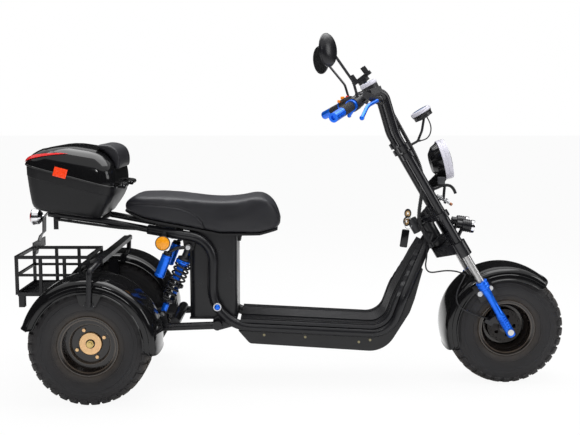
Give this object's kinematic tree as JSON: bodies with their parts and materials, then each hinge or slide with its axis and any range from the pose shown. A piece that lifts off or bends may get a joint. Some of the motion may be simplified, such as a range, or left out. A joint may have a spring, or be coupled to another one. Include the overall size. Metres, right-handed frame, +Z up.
{
  "type": "electric cargo tricycle",
  "caption": "Open electric tricycle with fat off-road tyres, long leaning fork, bench seat, step-through footboard, top box and rear basket.",
  "frame": {"origin": "middle of the length and width, on the ground under the tyres", "axes": "+X forward, +Y to the rider's left, +Z up"},
  "size_m": [2.1675, 0.8434, 1.3642],
  "materials": {
    "frame_black": "satin powder coat",
    "frame_grey": "satin dark grey paint",
    "gloss_black": "gloss moulded plastic",
    "matte_black": "textured moulded plastic",
    "fork_black": "satin anodised black",
    "anodised_blue": "bright blue anodised",
    "steel": "bright turned steel",
    "zinc_yellow": "yellow passivated zinc",
    "tyre_rubber": "dull black tread rubber",
    "rubber": "dull black rubber",
    "seat_leather": "smooth black seat covering",
    "red_lens": "clear red lens",
    "orange_lens": "clear orange reflector",
    "glass": "clear lamp glass",
    "mirror": "polished mirror"
  },
  "bodies": {
    "frame": {"main_frame": "frame_black", "steering_neck": "frame_black", "floor_mat": "rubber", "belly_pan": "matte_black", "battery_box": "frame_black", "battery": "matte_black", "rear_rack": "frame_black", "swing_arm": "frame_black", "rear_axle": "steel", "dampers": "anodised_blue", "damper_springs": "frame_black", "rear_fenders": "gloss_black", "fender_hoop": "frame_black", "basket": "frame_black", "tail_lamp_body": "steel", "tail_lamp_lens": "red_lens", "plate_bracket": "frame_black", "side_reflectors": "orange_lens", "top_box_base": "matte_black", "loom_neck": "rubber", "brake_hose_neck": "rubber", "rack_sleeve": "rubber"},
    "steering": {"lower_clamp": "fork_black", "upper_yoke": "fork_black", "fork_stanchions": "steel", "fork_sliders": "anodised_blue", "front_axle": "steel", "front_fender": "gloss_black", "fork_risers": "fork_black", "upper_clamp": "fork_black", "handlebar": "fork_black", "grips": "rubber", "grip_ends": "anodised_blue", "brake_levers": "anodised_blue", "controls": "matte_black", "mirrors": "gloss_black", "mirror_glass": "mirror", "headlight": "matte_black", "headlight_lens": "glass", "instrument": "matte_black", "spot_lamps": "matte_black", "phone_holder": "matte_black", "ignition": "matte_black", "brake_caliper": "fork_black", "wiring_loom": "rubber", "brake_hose_fork": "rubber", "dial_cable": "rubber"},
    "front_wheel": {"front_rim": "frame_black", "front_rotor": "steel", "front_tyre": "tyre_rubber"},
    "rear_wheel_left": {"rear_tyre_left": "tyre_rubber", "rear_rim_left": "frame_black", "hub_cap_left": "zinc_yellow"},
    "rear_wheel_right": {"rear_tyre_right": "tyre_rubber", "rear_rim_right": "frame_black", "hub_cap_right": "zinc_yellow"},
    "seat": {"seat_pan": "matte_black", "seat_cushion": "seat_leather"},
    "box_lid": {"box_lid": "gloss_black", "backrest_pad": "seat_leather"}
  },
  "joints": [
    {"name": "steering_turn", "type": "hinge", "parent": "frame", "child": "steering", "pos_m": [0.80361, 0, 0.19796], "axis": [-0.509, 0, 0.8607], "range_deg": [-38, 38]},
    {"name": "front_wheel_spin", "type": "hinge", "parent": "steering", "child": "front_wheel", "pos_m": [0.85525, 0, 0.2285], "axis": [0, 1, 0], "continuous": true},
    {"name": "rear_wheel_left_spin", "type": "hinge", "parent": "frame", "child": "rear_wheel_left", "pos_m": [-0.75075, 0.285, 0.2285], "axis": [0, 1, 0], "continuous": true},
    {"name": "rear_wheel_right_spin", "type": "hinge", "parent": "frame", "child": "rear_wheel_right", "pos_m": [-0.75075, -0.285, 0.2285], "axis": [0, 1, 0], "continuous": true},
    {"name": "seat_tip", "type": "hinge", "parent": "frame", "child": "seat", "pos_m": [-0.20475, 0, 0.596], "axis": [0, 1, 0], "range_deg": [0, 65]},
    {"name": "lid_open", "type": "hinge", "parent": "frame", "child": "box_lid", "pos_m": [-0.65156, 0, 0.80124], "axis": [0, 1, 0], "range_deg": [0, 75]}
  ]
}
